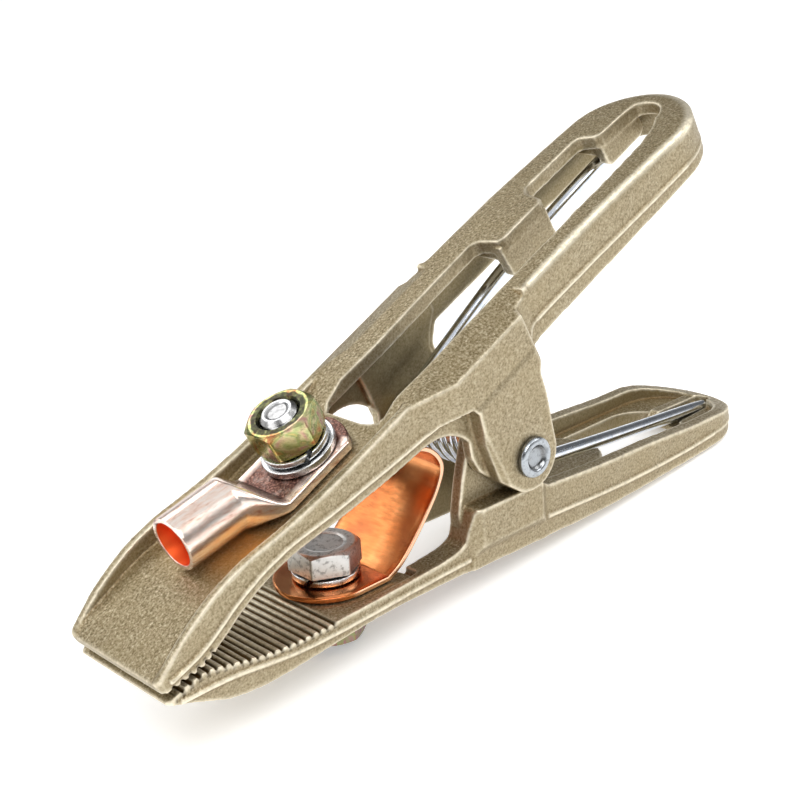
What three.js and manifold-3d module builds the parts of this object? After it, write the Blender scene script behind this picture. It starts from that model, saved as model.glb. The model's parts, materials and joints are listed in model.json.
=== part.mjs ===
// Welding ground clamp: two cast brass arms on one rivet, a torsion spring between them,
// a copper shunt that joins the jaws, and a cable lug bolted to the upper jaw.
//
// Millimetres. Each arm is drawn in its own frame, with the origin between the ears: X runs along the
// arm towards its handle, Y runs across from the near side to the far side, and Z is the arm's upper side.
// With the jaws closed the upper arm's frame is the lower arm's frame turned up by JAW_ANGLE.

import * as THREE from "three";
import { mergeVertices } from "three/addons/utils/BufferGeometryUtils.js";
import Module from "manifold-3d";

const wasm = await Module();
wasm.setup();

// ---------------------------------------------------------------- driving dimensions

const DEG = Math.PI / 180;
const GAP = 0.3;                 // clearance between neighbouring pieces
const JAW_ANGLE = 26 * DEG;      // between the two arms, jaws closed

const JAW_HALF = 19.3;           // half the width of either jaw
const WALL = 2.7;                // thickness of the jaw's side walls
const EAR_OUT = 24;              // outer face of the upper arm's ears
const EAR_TOP_OUT = 23.3;        // the same, above the ears' step
const EAR_IN = 16.1;             // inner face of the upper arm's ears
const LUG_OUT = 15.8;            // outer face of the lower arm's ears
const LUG_IN = 11.9;             // inner face of the lower arm's ears
const HANDLE_HALF = 20;          // half the width of the handles
const PIVOT = [-3.8, 1.8];       // rivet axis in the lower arm's frame

const UPPER_END = 90.8;          // centre of the upper handle's round end
const LOWER_END = 83.5;          // centre of the lower handle's round end

const RIVET_R = 4;
const RIVET_HEAD_R = 5.7;

const WIRE_R = 2.1;
const COIL_R = 13.6;             // mean radius of the coil
const COIL_PITCH = 4.35;
const COIL_CENTRE = [-1, 8.4];   // the coil hangs on the rivet, so it sits off the pivot

const BOLT_R = 4.95;             // M10
const BORE_R = 5.3;
const HEX = 17;                  // across flats
const FACE_R = 8.2;              // round face left by the chamfer on nuts and heads
const HEAD_H = 6.4;
const NUT_H = 8.4;
const WASHER_R = 10;
const WASHER_T = 2;
const SPRING_WASHER_R = 9.05;
const SPRING_WASHER_T = 2.2;

const UPPER_BOLT_X = -48.5;
const LOWER_BOLT_X = -57.5;
const PAN = 38.7;                // floor of the upper jaw's tray at its bolt
const PLATE = -21.2;             // top of the lower jaw's plate
const SEAT = -25.4;              // flat under the lower jaw that the lower washer sits on
const TRAY_UNDER = 35.2;         // flat under the upper jaw's tray that the strap lies on
const DECK_EDGE = 39.2;          // where the deck's sloping edge meets the ears' outer face

const STRAP_T = 1.4;
const STRAP_HALF = 14;

const BARREL_R = 7.3;            // cable lug
const BARREL_BORE_R = 5.9;
const BARREL_LENGTH = 17.6;
const BORE_DEPTH = 15;
const BARREL_TILT = 11.5 * DEG;  // the barrel's mouth is bent up from the palm
const MOUTH = [-89.2, 50];       // centre of the barrel's mouth
const PALM_T = 2.8;
const PALM_HALF = 10.8;

const TOOTH_PITCH = 2.35;
const TOOTH_DEPTH = 0.9;
const BOLT_PROUD = 0.8;          // the upper bolt ends outside its nut, the lower one inside

// ---------------------------------------------------------------- helpers

const brass = { color: 0xb5a67e, roughness: 0.5, metalness: 0.85 };
const steel = { color: 0xc4c6ca, roughness: 0.28, metalness: 0.95 };
const yellowZinc = { color: 0xbfb673, roughness: 0.3, metalness: 0.9 };
const copper = { color: 0xd98d6d, roughness: 0.28, metalness: 0.95 };
const strapCopper = { color: 0xb5561f, roughness: 0.3, metalness: 0.95 };

function solidOf(geometry) {
  const bare = geometry.clone();
  bare.deleteAttribute("normal");
  bare.deleteAttribute("uv");
  const merged = mergeVertices(bare, 1e-4);
  return new wasm.Manifold(new wasm.Mesh({
    numProp: 3,
    vertProperties: new Float32Array(merged.attributes.position.array),
    triVerts: new Uint32Array(merged.index.array),
  }));
}

function geometryOf(solid) {
  const mesh = solid.getMesh();
  const geometry = new THREE.BufferGeometry();
  geometry.setAttribute("position", new THREE.BufferAttribute(mesh.vertProperties, 3));
  geometry.setIndex(new THREE.BufferAttribute(mesh.triVerts, 1));
  return geometry.toNonIndexed();
}

function node(name, geometry, look) {
  geometry.computeVertexNormals();
  const mesh = new THREE.Mesh(geometry, new THREE.MeshStandardMaterial(look));
  mesh.name = name;
  return mesh;
}

function outline(points) {
  return new THREE.Shape(points.map(([x, y]) => new THREE.Vector2(x, y)));
}

// A smooth open curve through a few points, as a list of points.
function smooth(points, count) {
  const curve = new THREE.SplineCurve(points.map(([x, y]) => new THREE.Vector2(x, y)));
  return curve.getSpacedPoints(count).map((p) => [p.x, p.y]);
}

function arc(cx, cy, r, from, to, count) {
  const points = [];
  for (let i = 0; i <= count; i++) {
    const a = (from + ((to - from) * i) / count) * DEG;
    points.push([cx + r * Math.cos(a), cy + r * Math.sin(a)]);
  }
  return points;
}

// Height of a curve, given as points with rising x, at x.
function heightAt(points, x) {
  let i = 1;
  while (i < points.length - 1 && points[i][0] < x) i += 1;
  const [x0, z0] = points[i - 1];
  const [x1, z1] = points[i];
  return z0 + ((z1 - z0) * (x - x0)) / (x1 - x0);
}

// A side view (x, z) with a thickness across the clamp, from y0 to y1.
function side(points, y0, y1) {
  const geometry = new THREE.ExtrudeGeometry(outline(points), { depth: y1 - y0, bevelEnabled: false });
  geometry.rotateX(Math.PI / 2);
  geometry.translate(0, y1, 0);
  return solidOf(geometry);
}

// A plan view (x, y) between two heights.
function plan(points, z0, z1) {
  const geometry = new THREE.ExtrudeGeometry(outline(points), { depth: z1 - z0, bevelEnabled: false });
  geometry.translate(0, 0, z0);
  return solidOf(geometry);
}

// A section (y, z) run along the arm, from x0 to x1.
function section(points, x0, x1) {
  const geometry = new THREE.ExtrudeGeometry(outline(points), { depth: x1 - x0, bevelEnabled: false });
  geometry.rotateX(Math.PI / 2);
  geometry.rotateZ(Math.PI / 2);
  geometry.translate(x0, 0, 0);
  return solidOf(geometry);
}

function box(x0, x1, y0, y1, z0, z1) {
  const geometry = new THREE.BoxGeometry(x1 - x0, y1 - y0, z1 - z0);
  geometry.translate((x0 + x1) / 2, (y0 + y1) / 2, (z0 + z1) / 2);
  return solidOf(geometry);
}

function rod(r, length, segments = 40) {
  const geometry = new THREE.CylinderGeometry(r, r, length, segments);
  geometry.rotateX(Math.PI / 2);
  return geometry;
}

function bore(x, r, z0, z1) {
  const geometry = rod(r, z1 - z0);
  geometry.translate(x, 0, (z0 + z1) / 2);
  return solidOf(geometry);
}

// A hole across the clamp.
function crossBore([x, z], r, half) {
  const geometry = new THREE.CylinderGeometry(r, r, 2 * half, 40);
  geometry.translate(x, 0, z);
  return solidOf(geometry);
}

function mirrored(points) {
  return points.map(([x, y]) => [x, -y]).reverse();
}

// A plan outline that is the same on both sides, from the points on its far side, front to back.
function bothSides(points) {
  return [...points, ...mirrored(points)];
}

// A thin strip along a line in the side view, such as a casting's parting line.
function strip(line, half) {
  return [...line.map(([x, z]) => [x, z + half]), ...line.map(([x, z]) => [x, z - half]).reverse()];
}

// A large block that lies above the plane through three points.
function above(p, q, r) {
  const [a, b, c] = [p, q, r].map((v) => new THREE.Vector3(...v));
  const normal = b.clone().sub(a).cross(c.clone().sub(a)).normalize();
  if (normal.z < 0) normal.negate();
  const geometry = new THREE.BoxGeometry(400, 400, 400);
  geometry.translate(0, 0, 200);
  geometry.applyQuaternion(new THREE.Quaternion().setFromUnitVectors(new THREE.Vector3(0, 0, 1), normal));
  geometry.translate(...a);
  return solidOf(geometry);
}

function union(solids) {
  return solids.reduce((a, b) => a.add(b));
}

// A parting line that stands out on both flanks, from inside the walls to the given half width.
function ridge(line, half, inner) {
  return side(strip(line, 0.45), -half, half).subtract(side(strip(line, 2), -inner, inner));
}

// Cutter for the grooves of a row of flat-topped teeth, across the whole jaw. The tops are on a line with
// rising x, and the grooves go in on the side away from the other jaw, against direction.
function grooves(line, from, to, direction) {
  const points = [[from, heightAt(line, from) + 4 * direction]];
  const count = Math.round((to - from) / TOOTH_PITCH);
  for (let i = 0; i < count; i++) {
    for (const [part, depth] of [[0, -0.4], [0.42, -0.4], [0.58, 1], [0.88, 1]]) {
      const x = from + (i + part) * TOOTH_PITCH;
      points.push([x, heightAt(line, x) - direction * depth * TOOTH_DEPTH]);
    }
  }
  points.push([to, heightAt(line, to) + 4 * direction]);
  return side(points, -30, 30);
}

// A point of the upper arm's frame in the lower arm's frame, jaws closed, and the other way.
function toLower([x, z]) {
  const c = Math.cos(JAW_ANGLE);
  const s = Math.sin(JAW_ANGLE);
  return [x * c - z * s, x * s + z * c];
}

function toUpper([x, z]) {
  const c = Math.cos(JAW_ANGLE);
  const s = Math.sin(JAW_ANGLE);
  return [x * c + z * s, -x * s + z * c];
}

// ---------------------------------------------------------------- lower arm

const lowerRim = [
  [-120.3, -21.4], [-118.4, -20.4], [-110, -17.5], [-103, -18.4], [-93, -20.4],
  [-80.5, -21.3], [-60, -20.9], [-32, -19.4], [-25, -17.2],
];
const lowerBelly = [
  [-120.3, -22], [-112, -24.4], [-104, -27.4], [-95.4, -28.5], [-86, -28.3], [-70, -26.9],
  [-50, -25.6], [-14, -26.2], [28, -27.2], [60, -26], [79, -24.9], [104, -22.6],
];
const lowerHandleTop = [[7, -11.4], [30, -13], [50, -13.6], [72, -14.8], [88, -15.2], [104, -18.4]];

function lowerArm() {
  const half = [
    [-120.3, 17.8], [-119.2, 18.9], [-104, JAW_HALF], [-24, JAW_HALF], [-20.5, 21.6], [2.6, 21.6],
    [5.6, HANDLE_HALF - 0.3],
    ...arc(LOWER_END, 0, HANDLE_HALF - 0.3, 90, 0, 14),
  ];
  const envelope = plan(bothSides(half), -40, 40);
  const belly = smooth(lowerBelly, 40).reverse();
  const rim = smooth(lowerRim, 36);
  const handleTop = smooth(lowerHandleTop, 20);
  const ledge = -8.5;

  const wallSide = [
    ...rim, [-22.6, ledge - 1], [-21.6, ledge], [2.8, ledge], [4.2, ledge - 0.9], ...handleTop, ...belly,
  ];
  const walls = side(wallSide, -23, 23).subtract(box(-130, -41, -(JAW_HALF - WALL), JAW_HALF - WALL, -60, 0));

  const teethFrom = -117.6;
  const teethTo = teethFrom + 20 * TOOTH_PITCH;
  const plate = [
    ...rim.filter(([x]) => x < teethTo), [teethTo + 0.8, PLATE], [-42.4, PLATE], [-40.4, PLATE - 1.6],
    ...belly.filter(([x]) => x < -40.8),
  ];
  let arm = walls.add(side(plate, -17, 17)).subtract(grooves(rim, teethFrom, teethTo, 1));

  // Open between the side walls from behind the plate to the web under the coil.
  const window = plan(bothSides([[-42.6, 10.9], [-41.6, LUG_IN], [5.2, LUG_IN], [6.2, 10.9]]), -60, 20);
  arm = arm.subtract(window);

  // The web under the coil is low, so that the coil clears it, and its back edge is round.
  const webEnd = arc(32, 0, 13.5, 72, -72, 12).reverse();
  const web = plan([[8, -16], [34, -16], ...webEnd, [34, 16], [8, 16]], -24.6, -16.2);

  // The handle is a loop with a high outer wall and a low inner step.
  const wallIn = HANDLE_HALF - 4.6;
  const hollow = plan(bothSides([[6, wallIn], ...arc(LOWER_END - 1, 0, wallIn, 90, 0, 12)]), -19.4, 0);
  const stepIn = wallIn - 3.4;
  const openLoop = plan(bothSides([[6, stepIn], ...arc(LOWER_END - 12, 0, stepIn, 90, 0, 12)]), -60, 0);
  arm = arm.subtract(hollow.subtract(box(-60, 9, -40, 40, -60, 10))).subtract(openLoop);
  arm = arm.add(web);

  // A tongue from the round end keeps the spring's leg on the near side.
  const tongueSide = [[78, -18.9], [80, -17.2], [99.5, -17.6], [99.5, -24], [88, -24], [80, -22.4]];
  const tongue = side(tongueSide, -0.4, 3);
  const notch = plan([[74, -7.4], [90, -6.4], [99, -5.6], [101.2, -3.2], [99, -0.7], [74, -0.7]], -22.8, -8);
  arm = arm.add(tongue).subtract(notch);

  // Ears for the rivet, inside the upper arm's ears.
  const ear = [
    [-24.6, -22], [-23.9, -10.4], [-22, -0.9], [-18.9, 9.4], [-15.5, 12.8],
    ...arc(...PIVOT, 11, 112, -30, 12), [9.5, -10], [14, -22],
  ];
  for (const y of [[LUG_IN, LUG_OUT], [-LUG_OUT, -LUG_IN]]) {
    arm = arm.add(side(ear, ...y));
  }

  // The upper arm's ears turn in the space over the ledges.
  for (const y of [[LUG_OUT, 30], [-30, -LUG_OUT]]) {
    arm = arm.subtract(box(-21.4, 2.6, ...y, ledge, 30));
  }

  for (const s of [-1, 1]) {
    const pad = [[s * 30, -14], [s * 21.7, -19], [s * 19.9, -21.6], [s * 19.9, -40], [s * 30, -40]];
    arm = arm.subtract(section(pad, -30, 12));
  }
  arm = arm.intersect(envelope);

  // Parting line on the flanks, and the raised pads below the ledges.
  const parting = smooth([[-117, -22], [-104, -21.8], [-80, -24], [-40, -22.8], [-24, -22.4]], 24);
  const handleParting = smooth([[6, -20.6], [40, -22], [70, -21.4], [82, -20.4]], 16);
  arm = arm.add(ridge(parting, JAW_HALF + 0.35, 17.5));
  arm = arm.add(ridge(handleParting, HANDLE_HALF + 0.05, 18));

  // Seat for the lower nut, bolt hole and rivet hole.
  arm = arm.subtract(box(-71, -44, -13, 13, -40, SEAT));
  arm = arm.subtract(bore(LOWER_BOLT_X, BORE_R, -40, 0));
  return arm.subtract(crossBore(PIVOT, RIVET_R + GAP, 40));
}

// ---------------------------------------------------------------- upper arm

const upperCrest = [
  [-117, 39.4], [-111, 41.9], [-105, 43.8], [-97, 45.5], [-90, 46.1], [-82, 45.7], [-73, 44.3],
  [-62, 43.1], [-45, 42.4], [0, 42.2], [45, 42], [75, 40.5], [100, 38.7], [114, 37.4],
];
const upperUnder = [
  [-117, 36.2], [-105.8, 33.8], [-98, 34.9], [-91, 36.4], [-81, 37.4], [-70.7, 36.5],
  [-58, 33.8], [-44, 31.3], [-33, 29.8], [-26, 28.8], [-21, 26.6], [-17.2, 23], [-15.2, 19.2],
];

function upperArm() {
  const half = [
    [-117, 17.9], [-115.9, 18.9], [-100, JAW_HALF], [-27, JAW_HALF], [-13.2, EAR_TOP_OUT], [-12.6, EAR_OUT],
    [12.6, EAR_OUT], [13.6, EAR_TOP_OUT], [14.8, HANDLE_HALF + 0.7], [19, HANDLE_HALF],
    ...arc(UPPER_END, 0, HANDLE_HALF, 90, 0, 14),
  ];
  const envelope = plan(bothSides(half), -20, 60);
  const crest = smooth(upperCrest, 60);
  const under = smooth(upperUnder, 36);
  const backwards = [...crest].reverse();
  const railBottom = 26.2;
  const [px, pz] = toUpper(PIVOT);
  const earEdge = [[-15.2, 19.2], [-16.8, 14.5], [-16.5, 9], [-13.4, 2.4], ...arc(px, pz, 10, 218, 352, 14)];

  // Side walls with their ears.
  const wallSide = [
    ...backwards, ...under, ...earEdge.slice(1), [10.6, 14.8], [11.6, 21.6], [15.4, railBottom],
    [80, railBottom - 1.2], [114, railBottom - 1.2],
  ];
  let arm = side(wallSide, -25, 25);
  arm = arm.subtract(box(-130, 140, -(JAW_HALF - WALL), JAW_HALF - WALL, -60, 60));
  const ringIn = [[60, JAW_HALF - WALL], ...arc(UPPER_END, 0, HANDLE_HALF - 3.8, 90, 0, 12)];
  const ring = plan(bothSides(ringIn), -60, 60);
  arm = arm.add(side(wallSide, -25, 25).subtract(box(-130, UPPER_END, -30, 30, -60, 80)).subtract(ring));

  // The tray between the jaw's ribs, from the toothed tip to the edge behind the cable lug.
  const tray = smooth([
    [-117, 39.2], [-111, 40.6], [-105, 41], [-96, 41.7], [-86, 41.1], [-76, 39.1], [-70, 38.3],
    [-63, PAN - 0.1], [-50, PAN], [-33.4, PAN],
  ], 40).reverse();
  const trayUnder = smooth([
    [-117, 36.2], [-106, 33.9], [-98, 35.2], [-88, 37.2], [-78, 36.6], [-66, TRAY_UNDER],
    [-33.4, TRAY_UNDER],
  ], 30);
  arm = arm.add(side([...tray, ...trayUnder], -17, 17));
  const teethFrom = -115.6;
  arm = arm.subtract(grooves(under, teethFrom, teethFrom + 6 * TOOTH_PITCH, -1));

  // The handle's top, cut through by one long slot. The far side carries two tabs over the spring's leg.
  const deck = crest.filter(([x]) => x > -44);
  const top = side([...[...deck].reverse(), ...deck.map(([x, z]) => [x, z - 4.4])], -24, 24);
  const slot = plan([
    [-33.4, -6], [-32, -11.4], [-30, -12.3], [-20, -12.9], [-10, -13.1], [44, -13.1], [64, -12.6],
    [84, -11.2], [92, -9.4], [98, -6.6],
    ...arc(98, 0, 6.6, -80, 40, 8), [99, 5], [86.6, 4.8], [84.8, 6], [83.2, 10.4], [81, 11], [58, 10],
    [55.6, 8], [54.4, 1.6], [52.4, 0.6], [36.4, 0.4], [34.4, 1.4], [33, 7.6], [31, 9], [8, 8.6],
    [-10, 7.9], [-31, 8.3], [-33.4, 7],
  ], -60, 60);
  arm = arm.add(top.subtract(slot));
  const pan = [[-46, 50], [-46, PAN], [-35.4, PAN], [-24, 42.4], [-24, 50]];
  arm = arm.subtract(side(pan, -(JAW_HALF - WALL), JAW_HALF - WALL));
  arm = arm.add(side([[33.6, 40], [54, 39], [54.4, 29.8], [52.6, 28.6], [36.4, 28.6], [34.6, 30]], 0.7, 4.2));
  arm = arm.add(side([[85.4, 37], [104, 35], [104, 29], [102, 27.8], [87.4, 28], [85.8, 29.4]], 5.2, 8.6));
  arm = arm.add(side([[34.6, 40], [53.8, 39], [53.8, 34.4], [34.6, 34.4]], 4, 17));
  arm = arm.add(side([[86, 36.6], [106, 34.8], [106, 31.6], [86, 31.6]], 8, 17));

  // The ears are thicker than the walls. The deck slopes down to their outer faces, starting from
  // nothing where the jaw begins to widen, and below it the faces step out with a small chamfer. In
  // front of the ears the flank stays flat below the parting line.
  const earInner = [
    [-14.9, 38], ...earEdge, [9.6, 14.8], [9.4, 21.6], [12, 26], [16, 30], [16, 38],
  ];
  const flankFront = [
    [-40, -20], [-14.4, -20], [-14.4, 6], [-13.6, 18], [-11.6, 27], [-12.4, 29], [-16, 30], [-22, 31.4],
    [-40, 33],
  ];
  for (const s of [-1, 1]) {
    const y = [s * EAR_IN, s * (JAW_HALF - WALL + 1)].sort((a, b) => a - b);
    arm = arm.add(side(earInner, ...y));
    const pocket = [[-29, s * 12], [-29, s * (JAW_HALF - WALL)], [-15.2, s * 18], [-15.2, s * 12]];
    arm = arm.subtract(plan(pocket, 22, 37.4));
    const inner = [-13.2, s * 15, 42.3];
    const corner = [-13.2, s * EAR_TOP_OUT, DECK_EDGE];
    const spread = above([-28, s * JAW_HALF, 42.3], inner, corner);
    const slope = above([20, s * 15, 42.3], inner, corner);
    const reach = [0, s * 40].sort((a, b) => a - b);
    arm = arm.subtract(spread.intersect(slope).intersect(box(-30, 19.4, ...reach, 30, 60)));
    const chamfer = [
      [s * EAR_TOP_OUT, 29], [s * EAR_OUT, 27.4], [s * 30, 27.4], [s * 30, 60], [s * EAR_TOP_OUT, 60],
    ];
    arm = arm.subtract(section(chamfer, -20, 22));
    const front = [s * JAW_HALF, s * 40].sort((a, b) => a - b);
    arm = arm.subtract(side(flankFront, ...front));
  }

  arm = arm.intersect(envelope);

  // Parting line along the flanks.
  const parting = smooth([
    [-114, 37.8], [-104, 37.4], [-88, 40], [-74, 40], [-58, 37], [-36, 33.4], [-22, 31.4],
  ], 24);
  const handleParting = smooth([[20, 31.6], [46, 31], [77, 29.6], [90, 29.2]], 12);
  arm = arm.add(ridge(parting, JAW_HALF + 0.35, 18)).add(ridge(handleParting, HANDLE_HALF + 0.35, 18.5));

  arm = arm.subtract(bore(UPPER_BOLT_X, BORE_R, 20, 60));
  return arm.subtract(crossBore([px, pz], RIVET_R + GAP, 40));
}

// ---------------------------------------------------------------- pivot rivet

// Hollow-ended rivet with a rolled head on each side.
function rivet() {
  const headFrom = EAR_OUT + GAP;
  const headTo = headFrom + 1.9;
  const end = [
    [0, headTo - 2.2], [2.2, headTo - 2], [2.8, headTo - 1], [3.6, headTo - 0.15], [4.4, headTo],
    [5.2, headTo - 0.3], [RIVET_HEAD_R, headTo - 1], [RIVET_HEAD_R, headFrom], [RIVET_R, headFrom],
  ];
  const profile = [...end.map(([r, y]) => [r, -y]), ...end.reverse()];
  return new THREE.LatheGeometry(profile.map(([r, y]) => new THREE.Vector2(r, y)), 40);
}

// ---------------------------------------------------------------- torsion spring

// Lower leg, coil, upper leg, as one wire in the lower arm's frame.
function spring() {
  const [cx, cz] = COIL_CENTRE;
  const start = -102 * DEG;
  const turns = (138 + 4 * 360) / 360;
  const half = (turns * COIL_PITCH) / 2;
  const points = [
    [98.4, -3.2, -20.4], [94, -3.4, -19.8], [64, -5.6, -16], [30, -8.6, -11.2], [12, -half, -8.6],
  ];
  const stations = 24;
  const count = Math.round(turns * stations);
  for (let i = 0; i <= count; i++) {
    const a = start - (i / count) * turns * 2 * Math.PI;
    points.push([cx + COIL_R * Math.cos(a), -half + (i / count) * 2 * half, cz + COIL_R * Math.sin(a)]);
  }
  const upperLeg = [
    [8, half + 0.5, 22.2], [20, half + 1.8, 23.2], [38, 13, 25.2], [63, 13, 27.4], [92, 13, 28],
  ];
  for (const [x, y, z] of upperLeg) {
    const [lx, lz] = toLower([x, z]);
    points.push([lx, y, lz]);
  }
  const path = new THREE.CatmullRomCurve3(points.map((p) => new THREE.Vector3(...p)), false, "centripetal");
  const wire = new THREE.Shape(arc(0, 0, WIRE_R, 0, 324, 9).map(([x, y]) => new THREE.Vector2(x, y)));
  return new THREE.ExtrudeGeometry(wire, { steps: 230, bevelEnabled: false, extrudePath: path });
}

// ---------------------------------------------------------------- copper shunt

// A flat strap bolted under the upper tray and on the lower plate, bent round in front of the coil.
function shunt() {
  const low = PLATE + GAP + STRAP_T / 2;
  const high = TRAY_UNDER - GAP - STRAP_T / 2;
  const bend = smooth([
    [-48, low], [-43.2, low + 2.8], [-35, low + 11.2], [-29, low + 19.2], [-27.2, 4.6], [-31, 9.8],
    toLower([-32.2, 30.4]), toLower([-37.8, high]),
  ], 44);
  const middle = [[-71.5, low], [-62, low], [-50, low], ...bend, toLower([-42, high]), toLower([-62, high])];
  const normals = middle.map(([x, z], i) => {
    const [x0, z0] = middle[Math.max(i - 1, 0)];
    const [x1, z1] = middle[Math.min(i + 1, middle.length - 1)];
    const length = Math.hypot(x1 - x0, z1 - z0);
    return [(-(z1 - z0) / length) * (STRAP_T / 2), ((x1 - x0) / length) * (STRAP_T / 2)];
  });
  const ribbon = [
    ...middle.map(([x, z], i) => [x + normals[i][0], z + normals[i][1]]),
    ...middle.map(([x, z], i) => [x - normals[i][0], z - normals[i][1]]).reverse(),
  ];
  let strap = side(ribbon, -STRAP_HALF, STRAP_HALF);
  const lowEnd = plan(bothSides([
    ...arc(LOWER_BOLT_X, 0, STRAP_HALF, 180, 90, 10), [0, STRAP_HALF],
  ]), -40, -6);
  const lowZone = box(-90, 0, -20, 20, -40, -6);
  strap = strap.subtract(lowZone.subtract(lowEnd));
  strap = strap.subtract(bore(LOWER_BOLT_X, BORE_R, -30, -10));
  const upperHole = rod(BORE_R, 20);
  const [hx, hz] = toLower([UPPER_BOLT_X, high]);
  upperHole.rotateY(-JAW_ANGLE);
  upperHole.translate(hx, 0, hz);
  return strap.subtract(solidOf(upperHole));
}

// ---------------------------------------------------------------- bolts, nuts and washers

function hexPrism(height, chamferTop, chamferBottom) {
  const prism = new THREE.CylinderGeometry(HEX / Math.sqrt(3), HEX / Math.sqrt(3), height, 6);
  prism.rotateX(Math.PI / 2);
  const corner = HEX / Math.sqrt(3);
  const drop = (corner - FACE_R) * 0.55;
  const profile = [
    [0, -height / 2],
    [chamferBottom ? FACE_R : 12, -height / 2],
    [corner, -height / 2 + (chamferBottom ? drop : 0)],
    [corner, height / 2 - (chamferTop ? drop : 0)],
    [chamferTop ? FACE_R : 12, height / 2],
    [0, height / 2],
  ];
  const turned = new THREE.LatheGeometry(profile.map(([r, y]) => new THREE.Vector2(r, y)), 36);
  turned.rotateX(Math.PI / 2);
  return solidOf(prism).intersect(solidOf(turned));
}

// Hexagon-head bolt on the Z axis: the head from 0 up to HEAD_H, the shank down to -length.
function bolt(length) {
  const head = hexPrism(HEAD_H, true, false).translate([0, 0, HEAD_H / 2]);
  const profile = [[0, -length], [BOLT_R - 1.1, -length], [BOLT_R, -length + 1.1], [BOLT_R, 0.5], [0, 0.5]];
  const shank = new THREE.LatheGeometry(profile.map(([r, y]) => new THREE.Vector2(r, y)), 36);
  shank.rotateX(Math.PI / 2);
  return head.add(solidOf(shank));
}

function nut() {
  return hexPrism(NUT_H, true, true).subtract(bore(0, BOLT_R + GAP, -10, 10));
}

function flatWasher() {
  return solidOf(rod(WASHER_R, WASHER_T, 48)).subtract(bore(0, BORE_R, -5, 5));
}

// A split spring washer: a ring cut through on a slant.
function springWasher() {
  const ring = solidOf(rod(SPRING_WASHER_R, SPRING_WASHER_T, 48)).subtract(bore(0, BORE_R, -5, 5));
  const cut = side([[4, -3], [5.2, -3], [6.6, 3], [5.4, 3]], -12, -3);
  return ring.subtract(cut);
}

// ---------------------------------------------------------------- cable lug

// A tube for the cable that flattens into a palm with a bolt hole.
function cableLug() {
  const palmZ = PAN + GAP;
  const palmEnd = arc(UPPER_BOLT_X - 1.6, 0, 14, -50, 50, 10);
  const palm = plan([[-64, -PALM_HALF], ...palmEnd, [-64, PALM_HALF]], palmZ, palmZ + PALM_T);
  const mid = palmZ + PALM_T / 2;
  const stations = [
    { x: -73.4, w: BARREL_R - 0.05, h: BARREL_R - 0.05, z: 46.79, square: 0 },
    { x: -71.4, w: 7.9, h: 6.5, z: 46.1, square: 0.12 },
    { x: -69, w: 9.1, h: 4.9, z: 44.7, square: 0.3 },
    { x: -66, w: 10.3, h: 2.8, z: 42.4, square: 0.55 },
    { x: -63, w: PALM_HALF, h: PALM_T / 2, z: mid, square: 0.7 },
    { x: -60, w: PALM_HALF, h: PALM_T / 2, z: mid, square: 0.7 },
  ];
  const around = 28;
  const round = (value, square) => Math.sign(value) * Math.abs(value) ** (1 - square);
  const ring = ({ x, w, h, z, square }) => {
    const points = [];
    for (let i = 0; i < around; i++) {
      const a = (i / around) * 2 * Math.PI;
      points.push([x, w * round(Math.cos(a), square), z + h * round(Math.sin(a), square)]);
    }
    return points;
  };
  const rings = stations.map(ring);
  const positions = rings.flat(2);
  const indices = [];
  for (let r = 0; r < rings.length - 1; r++) {
    for (let i = 0; i < around; i++) {
      const a = r * around + i;
      const b = r * around + ((i + 1) % around);
      indices.push(a, b, a + around, b, b + around, a + around);
    }
  }
  for (let i = 1; i < around - 1; i++) {
    const last = (rings.length - 1) * around;
    indices.push(0, i + 1, i);
    indices.push(last, last + i, last + i + 1);
  }
  const neck = new THREE.BufferGeometry();
  neck.setAttribute("position", new THREE.Float32BufferAttribute(positions, 3));
  neck.setIndex(indices);

  // A cylinder on the barrel's axis, between two distances from the mouth.
  const along = (r, from, to) => {
    const geometry = new THREE.CylinderGeometry(r, r, to - from, 40);
    geometry.rotateZ(Math.PI / 2);
    geometry.translate((from + to) / 2, 0, 0);
    geometry.rotateY(BARREL_TILT);
    geometry.translate(MOUTH[0], 0, MOUTH[1]);
    return solidOf(geometry);
  };
  const body = union([solidOf(neck), along(BARREL_R, 0, BARREL_LENGTH), palm]);
  return body.subtract(along(BARREL_BORE_R, -5, BORE_DEPTH)).subtract(bore(UPPER_BOLT_X, BORE_R, 30, 50));
}

// ---------------------------------------------------------------- assembly

function placed(mesh, x, z) {
  mesh.position.set(x, 0, z);
  return mesh;
}

const lower = new THREE.Group();
lower.add(node("lower_jaw_arm", geometryOf(lowerArm()), brass));
lower.add(placed(node("pivot_rivet", rivet(), steel), ...PIVOT));
lower.add(node("torsion_spring", spring(), steel));
lower.add(node("copper_shunt", geometryOf(shunt()), strapCopper));

const strapTop = PLATE + GAP + STRAP_T;
const lowerWasherZ = strapTop + GAP + SPRING_WASHER_T / 2;
const lowerHeadZ = lowerWasherZ + SPRING_WASHER_T / 2 + GAP;
const lowerFlatZ = SEAT - GAP - WASHER_T / 2;
const lowerNutZ = lowerFlatZ - WASHER_T / 2 - GAP - NUT_H / 2;
lower.add(placed(node("lower_spring_washer", geometryOf(springWasher()), steel), LOWER_BOLT_X, lowerWasherZ));
const lowerBolt = bolt(lowerHeadZ - lowerNutZ + NUT_H / 2 - BOLT_PROUD);
lower.add(placed(node("lower_bolt", geometryOf(lowerBolt), steel), LOWER_BOLT_X, lowerHeadZ));
lower.add(placed(node("lower_flat_washer", geometryOf(flatWasher()), steel), LOWER_BOLT_X, lowerFlatZ));
lower.add(placed(node("lower_nut", geometryOf(nut()), yellowZinc), LOWER_BOLT_X, lowerNutZ));

const upper = new THREE.Group();
upper.rotation.y = -JAW_ANGLE;
upper.add(node("upper_jaw_arm", geometryOf(upperArm()), brass));
upper.add(node("cable_lug", geometryOf(cableLug()), copper));

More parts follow.
